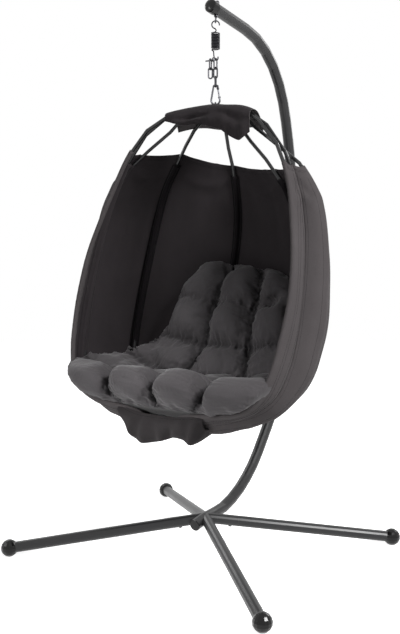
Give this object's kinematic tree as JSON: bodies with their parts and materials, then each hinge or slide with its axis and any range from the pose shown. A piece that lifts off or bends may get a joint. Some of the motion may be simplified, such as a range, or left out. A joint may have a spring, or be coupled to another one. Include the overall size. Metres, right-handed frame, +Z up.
{
  "type": "hanging pod chair",
  "caption": "Hanging pod chair: a bent-tube basket in a cloth sling with a tufted cushion, hung by a spring, chain and carabiner from a C-shaped stand with splayed legs.",
  "frame": {"origin": "on the floor, in the middle of the footprint of the whole chair with the basket hanging at rest", "axes": "+Z up, -Y the way the basket's open front faces, +X to the left of someone sitting in it"},
  "size_m": [1.1256, 1.1336, 1.9776],
  "materials": {
    "stand_coat": "satin charcoal powder coat",
    "rib_coat": "satin black powder coat",
    "black_plastic": "glossy black",
    "dark_steel": "dark zinc plate",
    "spring_steel": "dark spring wire",
    "sling_cloth": "woven charcoal polyester",
    "cover_cloth": "woven charcoal polyester",
    "cushion_cloth": "woven grey polyester, tufted"
  },
  "bodies": {
    "stand": {"pole_lower": "stand_coat", "pole_middle": "stand_coat", "pole_upper": "stand_coat", "pole_screw_lower": "dark_steel", "pole_screw_upper": "dark_steel", "pole_plug": "black_plastic", "tip_cap": "black_plastic", "leg_front_left": "stand_coat", "leg_bolt_front_left": "dark_steel", "foot_ball_front_left": "black_plastic", "leg_front_right": "stand_coat", "leg_bolt_front_right": "dark_steel", "foot_ball_front_right": "black_plastic", "leg_rear_left": "stand_coat", "leg_bolt_rear_left": "dark_steel", "foot_ball_rear_left": "black_plastic", "leg_rear_right": "stand_coat", "leg_bolt_rear_right": "dark_steel", "foot_ball_rear_right": "black_plastic", "eye_bolt": "dark_steel", "eye_bolt_collar": "dark_steel", "eye_bolt_nut": "dark_steel"},
    "spring": {"suspension_spring": "spring_steel"},
    "pin": {"hanger_pin": "dark_steel"},
    "chain": {"chain_link_1": "dark_steel", "chain_link_2": "dark_steel", "chain_link_3": "dark_steel", "spare_link_1": "dark_steel", "spare_link_2": "dark_steel", "carabiner_body": "dark_steel", "carabiner_rivet": "dark_steel"},
    "gate": {"carabiner_gate": "dark_steel"},
    "pod": {"pod_eye": "dark_steel", "pod_eye_nut": "dark_steel", "crown_plate_upper": "rib_coat", "crown_plate_lower": "rib_coat", "keel_plate_upper": "rib_coat", "keel_plate_lower": "rib_coat", "rib_front_left": "rib_coat", "rib_front_right": "rib_coat", "rib_second_left": "rib_coat", "rib_second_right": "rib_coat", "rib_side_left": "rib_coat", "rib_side_right": "rib_coat", "rib_rear_left": "rib_coat", "rib_rear_right": "rib_coat", "rib_centre": "rib_coat", "keel_bolt": "dark_steel", "sling": "sling_cloth", "top_cover": "cover_cloth", "bottom_cover": "cover_cloth", "cushion": "cushion_cloth"}
  },
  "joints": [
    {"name": "swing_sideways", "type": "hinge", "parent": "stand", "child": "spring", "pos_m": [0, -0.0108, 1.9042], "axis": [0, 1, 0], "range_deg": [-10, 10]},
    {"name": "spring_extend", "type": "slide", "parent": "spring", "child": "pin", "axis": [0, 0, -1], "range_m": [0, 0.03], "stiffness_N_per_m": 30000, "springref_m": -0.012, "deforming": ["suspension_spring"]},
    {"name": "swing_fore_aft", "type": "hinge", "parent": "pin", "child": "chain", "pos_m": [0, -0.0108, 1.7679], "axis": [0.9925, 0.1219, 0], "range_deg": [-20, 16]},
    {"name": "pod_twist", "type": "hinge", "parent": "chain", "child": "pod", "pos_m": [0, -0.0108, 1.6115], "axis": [0, 0, 1], "range_deg": [-30, 30]},
    {"name": "gate_open", "type": "hinge", "parent": "chain", "child": "gate", "pos_m": [0.00735, -0.00656, 1.66816], "axis": [-0.5, 0.866, 0], "range_deg": [0, 22], "stiffness_Nm_per_rad": 0.05, "springref_deg": -17.19}
  ]
}
